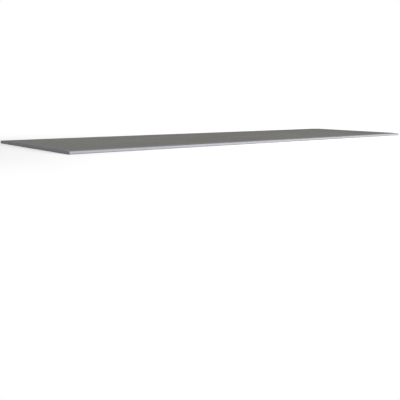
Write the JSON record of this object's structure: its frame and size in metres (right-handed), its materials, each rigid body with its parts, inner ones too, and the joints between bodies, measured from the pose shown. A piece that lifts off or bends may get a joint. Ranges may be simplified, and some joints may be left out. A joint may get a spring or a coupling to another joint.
{
  "type": "drywall sheet",
  "caption": "Flat paper-faced gypsum wallboard with square sawn ends and tapered, half-round long edges for taped joints.",
  "frame": {"origin": "centre of the back face, on the surface that the board lies on", "axes": "+X along the board's length, +Y across its width, +Z out of the front face, the one with the tapers"},
  "size_m": [2, 0.6, 0.0125],
  "materials": {
    "face_liner": "matt calendered face paper with cloudy formation and faint fibres, paler where it wraps round the long edges",
    "back_liner": "matt recycled back paper, slightly browner and with more stray fibres than the face",
    "gypsum_core": "sawn, finely porous gypsum plaster, shown at the two cut ends"
  },
  "bodies": {
    "root": {"drywall_sheet": "face_liner"}
  },
  "joints": []
}
